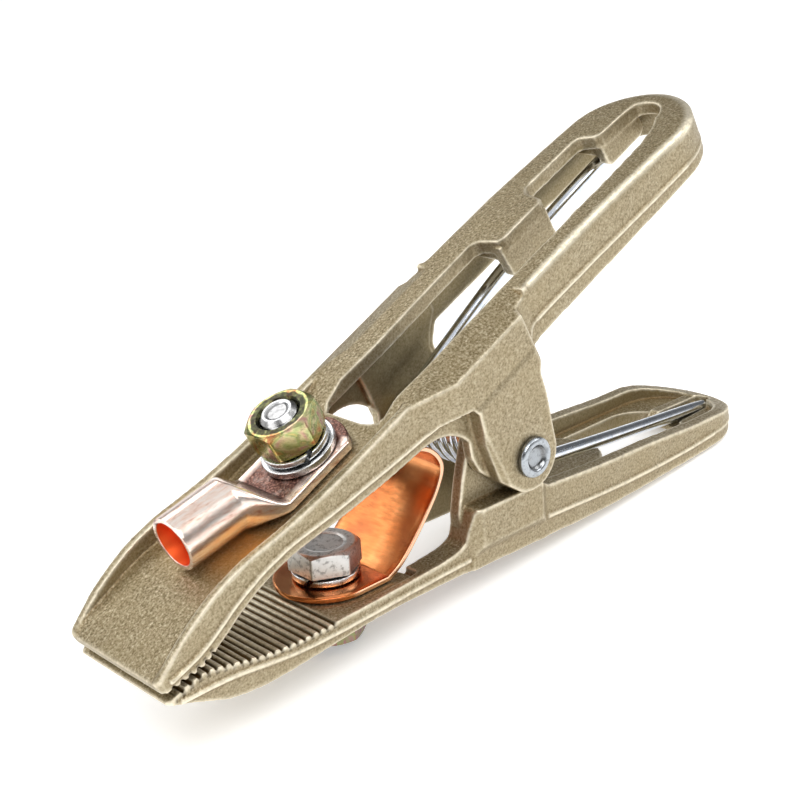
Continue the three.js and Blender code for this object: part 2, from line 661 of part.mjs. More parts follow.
const palmTop = PAN + GAP + PALM_T;
const upperFlatZ = palmTop + GAP + WASHER_T / 2;
const upperSpringZ = upperFlatZ + WASHER_T / 2 + GAP + SPRING_WASHER_T / 2;
const upperNutZ = upperSpringZ + SPRING_WASHER_T / 2 + GAP + NUT_H / 2;
const upperHeadZ = TRAY_UNDER - GAP - STRAP_T - GAP;
upper.add(placed(node("upper_flat_washer", geometryOf(flatWasher()), steel), UPPER_BOLT_X, upperFlatZ));
upper.add(placed(node("upper_spring_washer", geometryOf(springWasher()), steel), UPPER_BOLT_X, upperSpringZ));
upper.add(placed(node("upper_nut", geometryOf(nut()), yellowZinc), UPPER_BOLT_X, upperNutZ));
const upperBolt = bolt(upperNutZ + NUT_H / 2 - upperHeadZ + BOLT_PROUD);
const upperBoltNode = placed(node("upper_bolt", geometryOf(upperBolt), steel), UPPER_BOLT_X, upperHeadZ);
upperBoltNode.rotation.x = Math.PI;
upper.add(upperBoltNode);

const clamp = new THREE.Group();
clamp.add(lower, upper);

// At rest the clamp lies on the lower nut and the lower handle. The height over the bench is zero at
// the nut's lower back edge and at the lowest point of the handle, and X is centred.
const nutFoot = [LOWER_BOLT_X + HEX / 2, lowerNutZ - NUT_H / 2];
const handleFoot = [60, -26];
const tilt = Math.atan2(handleFoot[1] - nutFoot[1], handleFoot[0] - nutFoot[0]);
clamp.rotation.y = tilt;
clamp.updateMatrixWorld(true);
const bounds = new THREE.Box3().setFromObject(clamp, true);
clamp.position.set(-(bounds.min.x + bounds.max.x) / 2, -(bounds.min.y + bounds.max.y) / 2, -bounds.min.z);

const assembly = new THREE.Group();
assembly.add(clamp);

export default assembly;
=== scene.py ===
"""Welding ground clamp: cast brass arms, torsion spring, copper strap, cable lug and M10 hardware."""
import json
import math

import bmesh
import bpy
import numpy as np
from mathutils import Matrix, Vector, noise


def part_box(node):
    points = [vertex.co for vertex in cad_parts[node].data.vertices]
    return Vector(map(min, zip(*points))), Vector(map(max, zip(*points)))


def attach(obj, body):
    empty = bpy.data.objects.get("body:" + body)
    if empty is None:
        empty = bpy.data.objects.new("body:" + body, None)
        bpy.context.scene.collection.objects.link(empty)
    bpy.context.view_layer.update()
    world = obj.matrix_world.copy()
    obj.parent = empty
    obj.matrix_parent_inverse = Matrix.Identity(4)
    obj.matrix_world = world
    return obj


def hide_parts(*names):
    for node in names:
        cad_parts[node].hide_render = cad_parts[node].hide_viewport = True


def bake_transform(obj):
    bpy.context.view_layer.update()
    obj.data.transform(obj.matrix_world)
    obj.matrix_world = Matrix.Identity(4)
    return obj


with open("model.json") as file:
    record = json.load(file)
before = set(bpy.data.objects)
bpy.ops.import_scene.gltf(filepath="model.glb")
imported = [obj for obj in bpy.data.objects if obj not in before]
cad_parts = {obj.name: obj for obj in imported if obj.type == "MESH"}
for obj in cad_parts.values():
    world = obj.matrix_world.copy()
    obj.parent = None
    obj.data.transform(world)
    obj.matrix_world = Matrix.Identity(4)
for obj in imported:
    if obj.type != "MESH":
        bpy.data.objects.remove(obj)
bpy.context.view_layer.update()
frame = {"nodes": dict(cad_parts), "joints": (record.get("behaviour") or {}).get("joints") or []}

MM = 0.001
DEG = math.pi / 180

# ------------------------------------------------------------------ the arms' own frames (millimetres)

PIVOT = (-3.8, 1.8)
TILT = 5.4503
JAW_ANGLE = 26.0
pivot_at = Vector(frame["joints"][0]["pos_m"])


def turn_y(degrees):
    return Matrix.Rotation(degrees * DEG, 4, "Y")


# Lower arm's frame and upper arm's frame in the row frame, for points in millimetres.
LOWER = (Matrix.Translation(pivot_at) @ turn_y(TILT) @ Matrix.Scale(MM, 4)
         @ Matrix.Translation((-PIVOT[0], 0, -PIVOT[1])))
UPPER = LOWER @ turn_y(-JAW_ANGLE)


def to_lower(x, z):
    """A point of the upper arm's side view in the lower arm's frame."""
    c, s = math.cos(JAW_ANGLE * DEG), math.sin(JAW_ANGLE * DEG)
    return (x * c - z * s, x * s + z * c)


UPPER_BOLT_X, LOWER_BOLT_X = -48.5, -57.5
PAN, TRAY_UNDER, PLATE, SEAT = 38.7, 35.2, -21.2, -25.4
GAP = 0.3
STRAP_T, STRAP_HALF = 1.4, 14.0
HEX, HEAD_H, NUT_H = 17.0, 6.4, 8.4
BOLT_R, BORE_R = 4.95, 5.3
WASHER_R, WASHER_T = 10.0, 2.0
SPRING_WASHER_R, SPRING_WASHER_T = 9.05, 2.2
BOLT_PROUD = 0.8        # the upper bolt stands this far out of its nut, the lower one lies as far inside
PALM_T = 2.8

# ------------------------------------------------------------------ mesh helpers


def placed_mesh(name, verts, faces, matrix, sharp):
    """A smooth-shaded object from points in millimetres of the frame that matrix gives."""
    mesh = bpy.data.meshes.new(name)
    points = np.asarray(verts, float)
    m = np.array(matrix)
    points = points @ m[:3, :3].T + m[:3, 3]
    mesh.from_pydata(points.tolist(), [], [list(f) for f in faces])
    mesh.validate()
    obj = bpy.data.objects.new(name, mesh)
    bpy.context.scene.collection.objects.link(obj)
    outward(obj)
    shade(obj, sharp)
    return obj


def outward(obj):
    bm = bmesh.new()
    bm.from_mesh(obj.data)
    bmesh.ops.remove_doubles(bm, verts=bm.verts, dist=1e-7)
    bmesh.ops.recalc_face_normals(bm, faces=bm.faces)
    bm.to_mesh(obj.data)
    bm.free()


def shade(obj, sharp):
    obj.data.shade_smooth()
    if sharp:
        obj.data.set_sharp_from_angle(angle=sharp * DEG)


def standing(matrix, x, z, spin=0):
    """The frame of a piece whose axis is an arm's Z, at x and z on the arm and turned by spin degrees."""
    return matrix @ Matrix.Translation((x, 0, z)) @ Matrix.Rotation(spin * DEG, 4, "Z")


def put_faces(mesh_faces, extra, offset):
    """Adds the faces of a second mesh, whose points start at offset."""
    mesh_faces += [tuple(i + offset for i in f) for f in extra]


def grid_faces(rows, columns, close_rows=False):
    """Faces of a grid of points, row by row, whose rows close on themselves."""
    faces = []
    for r in range(rows if close_rows else rows - 1):
        for c in range(columns):
            a, b = r * columns + c, r * columns + (c + 1) % columns
            d, e = ((r + 1) % rows) * columns + c, ((r + 1) % rows) * columns + (c + 1) % columns
            faces.append((a, b, e, d))
    return faces


def lathe(profile, around=96, radius=None, loop=False):
    """Points and faces of a profile of (r, z) turned about Z. radius(r, z, angle) may reshape it."""
    verts = []
    for r, z in profile:
        for i in range(around):
            a = 2 * math.pi * i / around
            rr = radius(r, z, a) if radius else r
            verts.append((rr * math.cos(a), rr * math.sin(a), z))
    return verts, grid_faces(len(profile), around, close_rows=loop)


def rounded(profile, radius=0.25, steps=4):
    """A polyline with its inner corners rounded."""
    out = [profile[0]]
    for i in range(1, len(profile) - 1):
        p, q, r = (np.array(v, float) for v in profile[i - 1:i + 2])
        a, b = p - q, r - q
        la, lb = np.linalg.norm(a), np.linalg.norm(b)
        k = min(radius, la * 0.45, lb * 0.45)
        if k < 1e-6:
            out.append(tuple(q))
            continue
        s, e = q + a / la * k, q + b / lb * k
        for t in np.linspace(0, 1, steps + 1):
            out.append(tuple((1 - t) ** 2 * s + 2 * t * (1 - t) * q + t ** 2 * e))
    out.append(profile[-1])
    return out


def dense(profile, step):
    """A polyline with points added so that no piece of it is longer than step."""
    out = [profile[0]]
    for a, b in zip(profile, profile[1:]):
        n = max(1, math.ceil(math.dist(a, b) / step))
        out += [tuple(np.array(a) + (np.array(b) - np.array(a)) * i / n) for i in range(1, n + 1)]
    return out


def spline(points, per=12):
    """Centripetal Catmull-Rom curve through the points."""
    p = [np.array(v, float) for v in points]
    p = [2 * p[0] - p[1]] + p + [2 * p[-1] - p[-2]]
    out = []
    for i in range(1, len(p) - 2):
        p0, p1, p2, p3 = p[i - 1:i + 3]
        t = [0.0]
        for a, b in ((p0, p1), (p1, p2), (p2, p3)):
            t.append(t[-1] + max(np.linalg.norm(b - a), 1e-6) ** 0.5)
        for k in range(per):
            u = t[1] + (t[2] - t[1]) * k / per
            a1 = (t[1] - u) / (t[1] - t[0]) * p0 + (u - t[0]) / (t[1] - t[0]) * p1
            a2 = (t[2] - u) / (t[2] - t[1]) * p1 + (u - t[1]) / (t[2] - t[1]) * p2
            a3 = (t[3] - u) / (t[3] - t[2]) * p2 + (u - t[2]) / (t[3] - t[2]) * p3
            b1 = (t[2] - u) / (t[2] - t[0]) * a1 + (u - t[0]) / (t[2] - t[0]) * a2
            b2 = (t[3] - u) / (t[3] - t[1]) * a2 + (u - t[1]) / (t[3] - t[1]) * a3
            out.append((t[2] - u) / (t[2] - t[1]) * b1 + (u - t[1]) / (t[2] - t[1]) * b2)
    out.append(p[-2])
    return np.array(out)


def sweep(path, radius, sides=24):
    """A round wire along a path, with slightly rounded ends."""
    path = np.asarray(path, float)
    tangent = np.gradient(path, axis=0)
    tangent /= np.linalg.norm(tangent, axis=1)[:, None]
    normal = np.cross(tangent[0], (0, 0, 1))
    normal /= np.linalg.norm(normal)
    verts = []

    def ring(centre, t, n, r):
        b = np.cross(t, n)
        for i in range(sides):
            a = 2 * math.pi * i / sides
            verts.append(centre + r * (math.cos(a) * n + math.sin(a) * b))

    ends = ((0.0, 0.55), (0.12, 0.85), (0.35, 1.0))
    for i in range(len(path)):
        normal = normal - tangent[i] * np.dot(normal, tangent[i])
        normal /= np.linalg.norm(normal)
        if i == 0:
            for back, k in ends:
                ring(path[0] + tangent[0] * (back - 0.35) * radius, tangent[0], normal, radius * k)
        elif i == len(path) - 1:
            for back, k in reversed(ends):
                ring(path[-1] + tangent[-1] * (0.35 - back) * radius, tangent[-1], normal, radius * k)
        else:
            ring(path[i], tangent[i], normal, radius)
    rings = len(verts) // sides
    faces = grid_faces(rings, sides)
    faces.append(tuple(range(sides)))
    faces.append(tuple(range((rings - 1) * sides, rings * sides)))
    return verts, faces


def section_ring(half_w, half_h, corner, k, flat):
    """A rounded rectangle as (y, z) points, with k steps round each corner and flat along each side."""
    pts = []
    corner = min(corner, half_w, half_h)
    cw, ch = half_w - corner, half_h - corner
    for sy, sz, start in ((1, 1, 0), (-1, 1, 90), (-1, -1, 180), (1, -1, 270)):
        for i in range(k + 1):
            a = (start + 90 * i / k) * DEG
            pts.append((sy * cw + corner * math.cos(a), sz * ch + corner * math.sin(a)))
        # along the flat to the next corner
        nxt = {(1, 1): (-1, 1), (-1, 1): (-1, -1), (-1, -1): (1, -1), (1, -1): (1, 1)}[(sy, sz)]
        end = (start + 90) * DEG
        a0 = (sy * cw + corner * math.cos(end), sz * ch + corner * math.sin(end))
        a1 = (nxt[0] * cw + corner * math.cos(end), nxt[1] * ch + corner * math.sin(end))
        for i in range(1, flat):
            t = i / flat
            pts.append((a0[0] + (a1[0] - a0[0]) * t, a0[1] + (a1[1] - a0[1]) * t))
    return pts


def cut(obj, cutter):
    """Takes cutter out of obj."""
    mod = obj.modifiers.new("cut", "BOOLEAN")
    mod.operation = "DIFFERENCE"
    mod.solver = "EXACT"
    mod.object = cutter
    bake(obj)
    bpy.data.objects.remove(cutter)


def bake(obj):
    """Applies the modifiers of obj."""
    bpy.context.view_layer.update()
    done = bpy.data.meshes.new_from_object(obj.evaluated_get(bpy.context.evaluated_depsgraph_get()))
    obj.modifiers.clear()
    obj.data = done


# ------------------------------------------------------------------ materials


def srgb(r, g, b):
    """A screen colour, 0 to 255, as linear values."""
    return tuple((v / 255 / 12.92) if v < 10.3 else ((v / 255 + 0.055) / 1.055) ** 2.4 for v in (r, g, b))


class Shader:
    """A node material with short calls for what the pieces need."""

    def __init__(self, name):
        self.mat = bpy.data.materials.new(name)
        self.mat.use_nodes = True
        self.tree = self.mat.node_tree
        self.bsdf = next(n for n in self.tree.nodes if n.type == "BSDF_PRINCIPLED")
        self.coords = self.tree.nodes.new("ShaderNodeTexCoord").outputs["Object"]

    def add(self, kind, **values):
        node = self.tree.nodes.new(kind)
        for key, value in values.items():
            setattr(node, key, value)
        return node

    def link(self, a, b):
        self.tree.links.new(a, b)

    def put(self, value, socket):
        if isinstance(value, (int, float)):
            socket.default_value = value
        elif isinstance(value, tuple):
            needs_alpha = len(value) == 3 and len(socket.default_value) == 4
            socket.default_value = (*value, 1.0) if needs_alpha else value
        else:
            self.link(value, socket)

    def noise(self, size_mm, detail=3.0, rough=0.55, stretch=None, distort=0.0):
        node = self.add("ShaderNodeTexNoise")
        node.inputs["Scale"].default_value = 1.0 / (size_mm * MM)
        node.inputs["Detail"].default_value = detail
        node.inputs["Roughness"].default_value = rough
        node.inputs["Distortion"].default_value = distort
        source = self.coords
        if stretch:
            mapping = self.add("ShaderNodeMapping")
            mapping.inputs["Scale"].default_value = stretch
            self.link(source, mapping.inputs["Vector"])
            source = mapping.outputs["Vector"]
        self.link(source, node.inputs["Vector"])
        return node.outputs["Fac"]

    def ramp(self, value, stops):
        node = self.add("ShaderNodeValToRGB")
        ramp = node.color_ramp
        while len(ramp.elements) < len(stops):
            ramp.elements.new(0.5)
        for element, (at, colour) in zip(ramp.elements, stops):
            element.position = at
            element.color = (*colour, 1.0) if isinstance(colour, tuple) else (colour, colour, colour, 1.0)
        self.link(value, node.inputs["Fac"])
        return node.outputs["Color"]

    def mix(self, factor, a, b):
        node = self.add("ShaderNodeMix", data_type="RGBA")
        self.put(factor, node.inputs[0])
        self.put(a, node.inputs[6])
        self.put(b, node.inputs[7])
        return node.outputs[2]

    def math(self, operation, a, b=0.0, clamp=False):
        node = self.add("ShaderNodeMath", operation=operation, use_clamp=clamp)
        self.put(a, node.inputs[0])
        self.put(b, node.inputs[1])
        return node.outputs[0]

    def span(self, value, low, high, to_low=0.0, to_high=1.0):
        node = self.add("ShaderNodeMapRange", clamp=True)
        self.put(value, node.inputs["Value"])
        for key, v in (("From Min", low), ("From Max", high), ("To Min", to_low), ("To Max", to_high)):
            node.inputs[key].default_value = v
        return node.outputs["Result"]

    def attribute(self, name):
        return self.add("ShaderNodeAttribute", attribute_name=name).outputs["Fac"]

    def bump(self, *layers):
        """Layers of (height 0 to 1, depth in millimetres)."""
        normal = None
        for height, depth in layers:
            node = self.add("ShaderNodeBump")
            node.inputs["Strength"].default_value = 1.0
            node.inputs["Distance"].default_value = 1.0
            self.link(self.math("MULTIPLY", height, depth * MM), node.inputs["Height"])
            if normal:
                self.link(normal, node.inputs["Normal"])
            normal = node.outputs["Normal"]
        self.link(normal, self.bsdf.inputs["Normal"])

    def out(self, **sockets):
        for key, value in sockets.items():
            self.put(value, self.bsdf.inputs[key.replace("_", " ")])
        return self.mat


def brass_material():
    """Sand-cast brass: coarse and grey-green on top, calmer on the flanks, bare on worn edges. Worn edges
    also carry a painted highlight; recesses, tooth grooves and inward walls get painted shade.
    """
    s = Shader("cast_brass")
    grain = s.noise(0.66, 4.0, 0.64)
    pits = s.noise(1.5, 3.0, 0.6)
    patches = s.noise(9.0, 3.0, 0.5)
    top = s.attribute("top")
    edge = s.attribute("edge")
    deep = s.attribute("deep")
    sand = s.ramp(grain, [
        (0.33, srgb(96, 82, 56)), (0.44, srgb(140, 125, 94)),
        (0.56, srgb(169, 155, 125)), (0.70, srgb(220, 208, 181))])
    calm = s.ramp(grain, [
        (0.34, srgb(134, 121, 94)), (0.5, srgb(163, 150, 123)), (0.68, srgb(184, 172, 146))])
    colour = s.mix(s.span(top, 0, 1, 0.12, 0.92), calm, sand)
    colour = s.mix(s.span(patches, 0.35, 0.7, 0.0, 0.28), colour, srgb(158, 142, 106))
    # Painted shade on walls that face the clamp's middle.
    colour = s.mix(s.math("MULTIPLY", s.attribute("inside"), 0.55), colour, srgb(126, 112, 76))
    # Painted shade in the tooth grooves.
    colour = s.mix(s.math("MULTIPLY", s.attribute("groove"), 0.9), colour, srgb(70, 54, 26))
    # A warm stain round the lug, painted brighter than its own colour as painted light over the corner's
    # shade; the grime and painted shade below are lessened there.
    stain_and_painted_light = s.attribute("stain_and_painted_light")
    stain_light_amount = s.math("MULTIPLY", stain_and_painted_light, s.span(patches, 0.3, 0.6, 0.5, 0.95))
    colour = s.mix(stain_light_amount, colour, srgb(222, 170, 98))
    # Bright edges: wear and a painted highlight.
    worn = s.math("MULTIPLY", edge, s.span(pits, 0.3, 0.55, 0.6, 1.0), clamp=True)
    colour = s.mix(worn, colour, srgb(248, 238, 214))
    # Recesses: grime and painted shade.
    grime_and_shade = s.math("MULTIPLY", deep, s.span(patches, 0.3, 0.65, 0.65, 1.0), clamp=True)
    grime_and_shade = s.math("MULTIPLY", grime_and_shade, s.span(stain_and_painted_light, 0, 1, 1.0, 0.2))
    colour = s.mix(grime_and_shade, colour, srgb(104, 76, 34))
    rough = s.math("ADD", s.span(grain, 0.3, 0.75, 0.50, 0.38), s.math("MULTIPLY", grime_and_shade, 0.18))
    rough = s.math("SUBTRACT", rough, s.math("MULTIPLY", worn, 0.10))
    coarse = s.math("MULTIPLY", grain, s.span(top, 0, 1, 0.35, 1.0))
    s.bump((pits, 0.10), (coarse, 0.17))
    return s.out(Base_Color=colour, Metallic=0.85, Roughness=rough)


def zinc_material(name="bright_zinc", tone=(0.78, 0.79, 0.80), speckle=0.5, dull=0.0):
    """Zinc-plated steel with dark spots, and painted shade where deep is set. dull is added to its
    roughness.
    """
    s = Shader(name)
    fine = s.noise(0.35, 3.0, 0.6)
    spots = s.noise(1.1, 4.0, 0.6)
    broad = s.noise(5.0, 2.0, 0.5)
    dark = tuple(v * 0.55 for v in tone)
    light = tuple(min(1.0, v * 1.12) for v in tone)
    colour = s.ramp(spots, [(0.36, dark), (0.47, tone), (1.0, light)])
    colour = s.mix(speckle, tone, colour)
    # Painted shade: near black where deep is set.
    colour = s.mix(s.span(s.attribute("deep"), 0, 1, 0, 0.75), colour, (0.10, 0.09, 0.08))
    plating = s.span(broad, 0.3, 0.7, 0.14 + dull, 0.24 + dull)
    rough = s.math("ADD", plating, s.span(spots, 0.3, 0.6, 0.14, 0.0))
    s.bump((spots, 0.035), (fine, 0.012))
    return s.out(Base_Color=colour, Metallic=1.0, Roughness=rough)


def tinted_material(name, stops, size):
    """Zinc with the rainbow film of a yellow chromate."""
    s = Shader(name)
    film = s.noise(size, 2.0, 0.5, distort=1.2)
    fine = s.noise(0.4, 3.0, 0.6)
    spots = s.noise(1.3, 3.0, 0.6)
    colour = s.ramp(film, stops)
    colour = s.mix(s.span(spots, 0.36, 0.5, 0.45, 0.0), colour, (0.22, 0.17, 0.09))
    dark_ring = s.ramp(spots, [
        (0.48, (0.02, 0.02, 0.013)), (0.62, (0.07, 0.075, 0.03)), (0.76, (0.30, 0.31, 0.16))])
    # A darker ring where deep is set.
    colour = s.mix(s.span(s.attribute("deep"), 0, 1, 0, 0.95), colour, dark_ring)
    rough = s.span(spots, 0.3, 0.65, 0.30, 0.16)
    s.bump((spots, 0.03), (fine, 0.01))
    return s.out(Base_Color=colour, Metallic=1.0, Roughness=rough)


def chrome_material():
    """Bright plated spring wire."""
    s = Shader("spring_plate")
    along = s.noise(2.4, 2.0, 0.5)
    fine = s.noise(0.3, 3.0, 0.6)
    colour = s.ramp(along, [(0.30, (0.62, 0.68, 0.77)), (0.6, (0.84, 0.88, 0.94))])
    s.bump((along, 0.03), (fine, 0.003))
    return s.out(Base_Color=colour, Metallic=1.0, Roughness=s.span(along, 0.35, 0.65, 0.18, 0.11))


def lug_material():
    """Bright copper with streaks, dark tarnished bands and a heat-reddened bore."""
    s = Shader("lug_copper")
    streaks = s.noise(1.0, 4.0, 0.62, stretch=(0.16, 1.0, 1.0))
    blots = s.noise(3.4, 3.0, 0.55)
    fine = s.noise(0.5, 4.0, 0.65)
    bright = s.ramp(streaks, [
        (0.30, (0.70, 0.42, 0.33)), (0.42, (0.97, 0.74, 0.63)), (0.60, (1.0, 0.88, 0.80))])
    speckled = s.ramp(fine, [
        (0.38, (0.035, 0.016, 0.012)), (0.52, (0.13, 0.055, 0.04)), (0.68, (0.44, 0.23, 0.17))])
    tarnish = s.math("MULTIPLY", s.attribute("tarnish"), s.span(blots, 0.3, 0.5, 0.8, 1.0))
    colour = s.mix(tarnish, bright, speckled)
    colour = s.mix(s.attribute("mouth"), colour, (0.86, 0.13, 0.03))
    rough = s.math("ADD", s.span(blots, 0.3, 0.7, 0.27, 0.20), s.math("MULTIPLY", tarnish, 0.10))
    rough = s.math("ADD", rough, s.math("MULTIPLY", s.attribute("mouth"), 0.24))
    s.bump((blots, 0.05), (streaks, 0.02), (fine, 0.010))
    return s.out(Base_Color=colour, Metallic=0.9, Roughness=rough)


def strap_material():
    """Rolled copper, browned unevenly, with a bright sheared rim."""
    s = Shader("strap_copper")
    rolled = s.noise(0.9, 3.0, 0.6, stretch=(1.0, 0.2, 1.0))
    heat = s.noise(11.0, 2.0, 0.5)
    fine = s.noise(0.5, 3.0, 0.6)
    colour = s.ramp(heat, [
        (0.3, (0.50, 0.145, 0.055)), (0.5, (0.68, 0.225, 0.07)), (0.7, (0.82, 0.34, 0.13))])
    colour = s.mix(s.span(rolled, 0.3, 0.6, 0.22, 0.0), colour, (0.25, 0.08, 0.03))
    colour = s.mix(s.attribute("rim"), colour, (0.93, 0.55, 0.36))
    s.bump((heat, 0.10), (fine, 0.008), (rolled, 0.006))
    return s.out(Base_Color=colour, Metallic=1.0, Roughness=s.span(rolled, 0.3, 0.7, 0.26, 0.18))


def set_material(obj, mat):
    obj.data.materials.clear()
    obj.data.materials.append(mat)
    return obj


def put_attribute(obj, name, values):
    attribute = obj.data.attributes.get(name) or obj.data.attributes.new(name, "FLOAT", "POINT")
    attribute.data.foreach_set("value", np.asarray(values, np.float32))


def local_points(obj, matrix):
    """The vertices of obj in millimetres of an arm's frame."""
    co = np.empty(len(obj.data.vertices) * 3)
    obj.data.vertices.foreach_get("co", co)
    m = np.array(matrix.inverted())
    return co.reshape(-1, 3) @ m[:3, :3].T + m[:3, 3]


# ------------------------------------------------------------------ the cast arms


def neighbour_mean(points, edges, count):
    """The mean of each point's neighbours. edges is pairs of points, count each point's neighbours."""
    total = np.zeros_like(points)
    for k in range(points.shape[1]):
        total[:, k] = (np.bincount(edges[:, 0], points[edges[:, 1], k], len(points))
                       + np.bincount(edges[:, 1], points[edges[:, 0], k], len(points)))
    return total / count[:, None]


def raise_ridges(p, nrm, ridges):
    """Parting lines: thin raised seams on the flanks, along lines of (x, z)."""
    out = np.zeros(len(p))
    flank = np.clip((np.abs(nrm[:, 1]) - 0.6) / 0.3, 0, 1) * (np.sign(p[:, 1]) == np.sign(nrm[:, 1]))
    for line, least_y in ridges:
        line = spline(line, 10)
        away = p[:, 2] - np.interp(p[:, 0], line[:, 0], line[:, 1])
        inside = (p[:, 0] > line[0, 0]) & (p[:, 0] < line[-1, 0]) & (np.abs(p[:, 1]) > least_y)
        out = np.maximum(out, np.exp(-(away / SEAM_WIDTH) ** 2) * inside)
    return out * flank


def cast_arm(node, matrix, mat, keep_teeth, ridges, grooves, soft_edge, inward_shade_under, stain_and_painted_light):
    """The node's solid as a casting: edges worn round, skin slightly uneven.

    keep_teeth, grooves, soft_edge and stain_and_painted_light are masks: functions of an array of points.
    ridges is parting lines with their least half width, and walls that face inwards get painted shade under
    inward_shade_under."""
    source = frame["nodes"][node]
    obj = bpy.data.objects.new(node.replace("_jaw_arm", "_arm_casting"), source.data.copy())
    bpy.context.scene.collection.objects.link(obj)
    obj.data.materials.clear()
    obj.data.transform(source.matrix_world)
    obj.data.transform(matrix.inverted())
    bm = bmesh.new()
    bm.from_mesh(obj.data)
    bmesh.ops.remove_doubles(bm, verts=bm.verts, dist=1e-4)
    bm.to_mesh(obj.data)
    bm.free()
    remesh = obj.modifiers.new("skin", "REMESH")
    remesh.mode = "VOXEL"
    remesh.voxel_size = VOXEL
    bake(obj)
    mesh = obj.data
    n = len(mesh.vertices)
    co = np.empty(n * 3)
    mesh.vertices.foreach_get("co", co)
    p = co.reshape(-1, 3)
    edges = np.empty(len(mesh.edges) * 2, np.int64)
    mesh.edges.foreach_get("vertices", edges)
    edges = edges.reshape(-1, 2)
    count = np.maximum(np.bincount(edges.ravel(), minlength=n), 1)

    share = np.where(keep_teeth(p), 0.10, 0.5)[:, None]
    for _ in range(SMOOTHING):
        p = p + (neighbour_mean(p, edges, count) - p) * share
    soft = soft_edge(p)[:, None]
    for _ in range(EDGE_SMOOTHING):
        p = p + (neighbour_mean(p, edges, count) - p) * 0.6 * soft

    def normals(points):
        mesh.vertices.foreach_set("co", points.ravel())
        mesh.update()
        out = np.empty(n * 3)
        mesh.vertices.foreach_get("normal", out)
        return out.reshape(-1, 3)

    nrm = normals(p)
    wobble = np.array([noise.noise(Vector(v) / 7.0) + 0.4 * noise.noise(Vector(v) / 2.6) for v in p])
    seam = raise_ridges(p, nrm, ridges)
    p = p + nrm * (SKIN_UNEVEN * wobble + SEAM_HEIGHT * seam)[:, None]
    nrm = normals(p)

    # Curvature at two sizes: for worn edges with a painted highlight and for recesses with grime and
    # painted shade.
    q = p.copy()
    masks = []
    for step in range(1, 25):
        q = q + (neighbour_mean(q, edges, count) - q) * 0.6
        if step in (5, 24):
            masks.append(((q - p) * nrm).sum(1))
    fine, broad = masks
    # Where its normal tilts, the handle's rounded top edge gets a band of painted highlight only; elsewhere
    # edge is convex wear with a painted highlight.
    tilted = np.clip((np.minimum(np.hypot(nrm[:, 0], nrm[:, 1]), nrm[:, 2]) - 0.2) / 0.25, 0, 1)
    edge = np.maximum(np.clip((-fine - 0.02) / 0.085, 0, 1), 0.85 * tilted * (soft[:, 0] > 0.5))
    deep = np.clip((fine - 0.02) / 0.08, 0, 1) * 0.8 + np.clip((broad - 0.22) / 0.5, 0, 1) * 0.6
    smooth = np.stack([edge, np.clip(deep, 0, 1)], 1)
    for _ in range(2):
        smooth = smooth * 0.5 + neighbour_mean(smooth, edges, count) * 0.5
    top = np.clip((nrm[:, 2] - 0.3) / 0.4, 0, 1)
    # edge: wear and painted highlight.
    put_attribute(obj, "edge", smooth[:, 0])
    # deep: grime and painted shade.
    put_attribute(obj, "deep", np.clip(smooth[:, 1], 0, 1))
    # inside: painted shade on inward walls.
    put_attribute(obj, "inside", facing_inwards(p, nrm) * (p[:, 2] < inward_shade_under))
    # groove: painted shade in the tooth grooves.
    put_attribute(obj, "groove", grooves(p) * keep_teeth(p))
    put_attribute(obj, "top", top)
    # stain: a stain painted bright as painted light.
    put_attribute(obj, "stain_and_painted_light", stain_and_painted_light(p) * top)
    obj.data.transform(matrix)
    obj.data.update()
    shade(obj, 0)
    set_material(obj, mat)
    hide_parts(node)
    return obj


def facing_inwards(p, nrm):
    """How far a point lies on a wall that faces the middle of the clamp, which gets painted shade."""
    return np.clip(-np.sign(p[:, 1]) * nrm[:, 1], 0, 1) * (np.abs(p[:, 1]) > 8)


def between_teeth(first, crests):
    """A mask of the tooth grooves, from the first tooth's edge and the line of the crests as (x, z)."""
    def mask(p):
        phase = ((p[:, 0] - first) / TOOTH_PITCH) % 1.0
        inside = np.clip((phase - 0.48) / 0.1, 0, 1) * np.clip((1.0 - phase) / 0.1, 0, 1)
        away = np.abs(p[:, 2] - np.interp(p[:, 0], *zip(*crests)))
        return inside * (away < 1.6)
    return mask


def handle_edge(p):
    """The rounded outer edge round the top of the slotted handle."""
    from_middle = np.hypot(np.maximum(p[:, 0] - 91, 0), p[:, 1])
    return ((p[:, 0] > 21) & (p[:, 2] > 37.2) & (from_middle > 14.8)).astype(float)


def beside_lug(p):
    """The tray's skin round the lug, stained by flux and heat, its stain painted bright as painted light
    where that corner lies in shade.
    """
    return np.exp(-((p[:, 0] + 77) / 9) ** 2) * np.clip((19 - np.abs(p[:, 1])) / 5, 0, 1) * (p[:, 2] < 46)


def nowhere(p):
    return np.zeros(len(p))


def upper_teeth(p):
    return (p[:, 0] < -101) & (p[:, 0] > -116) & (p[:, 2] < 36)


def lower_teeth(p):
    return (p[:, 0] < -69.5) & (p[:, 0] > -118) & (p[:, 2] > -22.6)


VOXEL = 0.36            # the castings' mesh size
SMOOTHING, EDGE_SMOOTHING = 5, 110
SKIN_UNEVEN = 0.06
SEAM_WIDTH, SEAM_HEIGHT = 0.62, 0.34
TOOTH_PITCH = 2.35
JAW_SIDE = 18           # the jaws' parting lines lie outside this half width
SLOT_WALL_TOP = 37.4    # above this the slot's walls get no painted shade
EVERYWHERE = 99

